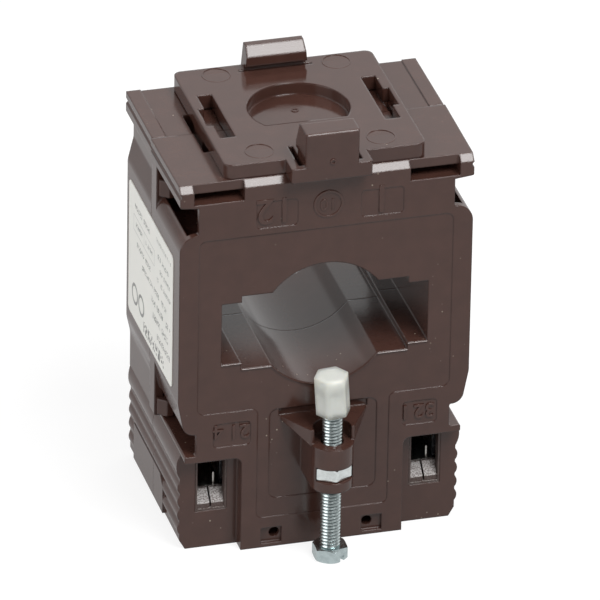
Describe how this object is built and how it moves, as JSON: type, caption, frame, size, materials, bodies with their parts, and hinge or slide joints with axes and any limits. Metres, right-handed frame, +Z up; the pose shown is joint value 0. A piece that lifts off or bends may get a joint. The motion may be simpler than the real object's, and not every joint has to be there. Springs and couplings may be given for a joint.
{
  "type": "window-type current transformer",
  "caption": "Moulded window-type current transformer with a stepped busbar window, a rail clip plate, a busbar clamping screw and cage-clamp terminals.",
  "frame": {"origin": "centre of the busbar window in the front face", "axes": "+Z up, square to the flat base and towards the rail clip; +Y from the front face to the rear, along the primary conductor; +X to the right seen from the front"},
  "size_m": [0.058, 0.051, 0.0902],
  "materials": {
    "housing": "dark brown moulded polycarbonate, satin to glossy",
    "clip_plastic": "dark brown moulded polyamide, glossy",
    "guide_plastic": "dark brown moulded plastic",
    "label_film": "pale grey printed polyester film",
    "zinc_steel": "bright blue-passivated zinc plate",
    "nylon": "natural translucent white nylon",
    "core_steel": "wound silicon steel strip, bare",
    "tape": "yellow polyester insulating tape",
    "copper_wire": "enamelled copper winding wire",
    "plated_brass": "tin-plated brass"
  },
  "bodies": {
    "housing": {"front_shell": "housing", "rear_shell": "housing", "rail_plate": "clip_plastic", "rating_label": "label_film", "clamp_nut": "zinc_steel", "core": "core_steel", "core_insulation": "tape", "secondary_winding": "copper_wire", "lead_wire_left": "copper_wire", "lead_wire_right": "copper_wire", "wire_guide_left": "guide_plastic", "wire_guide_right": "guide_plastic", "contact_bar_left": "plated_brass", "contact_bar_right": "plated_brass"},
    "clamp_cap": {"screw_cap": "nylon"},
    "clamp_screw": {"clamp_screw": "zinc_steel"},
    "cage_left": {"clamp_cage_left": "zinc_steel"},
    "terminal_screw_left": {"terminal_screw_left": "zinc_steel"},
    "cage_right": {"clamp_cage_right": "zinc_steel"},
    "terminal_screw_right": {"terminal_screw_right": "zinc_steel"}
  },
  "joints": [
    {"name": "clamp_travel", "type": "slide", "parent": "housing", "child": "clamp_cap", "axis": [0, 0, 1], "range_m": [-0.004, 0.012]},
    {"name": "clamp_turn", "type": "hinge", "parent": "clamp_cap", "child": "clamp_screw", "pos_m": [0, -0.0062, -0.03], "axis": [0, 0, 1], "range_deg": [-2058, 6172]},
    {"name": "cage_travel_left", "type": "slide", "parent": "housing", "child": "cage_left", "axis": [0, 0, -1], "range_m": [0, 0.0045]},
    {"name": "terminal_turn_left", "type": "hinge", "parent": "housing", "child": "terminal_screw_left", "pos_m": [-0.0212, 0.0106, -0.041], "axis": [0, 0, 1], "range_deg": [0, 2701]},
    {"name": "cage_travel_right", "type": "slide", "parent": "housing", "child": "cage_right", "axis": [0, 0, -1], "range_m": [0, 0.0045]},
    {"name": "terminal_turn_right", "type": "hinge", "parent": "housing", "child": "terminal_screw_right", "pos_m": [0.0212, 0.0106, -0.041], "axis": [0, 0, 1], "range_deg": [0, 2701]}
  ],
  "couplings": [
    {"joint": "clamp_turn", "follows": "clamp_travel", "rad_per_m": 8976},
    {"joint": "terminal_turn_left", "follows": "cage_travel_left", "rad_per_m": 10472},
    {"joint": "terminal_turn_right", "follows": "cage_travel_right", "rad_per_m": 10472}
  ]
}
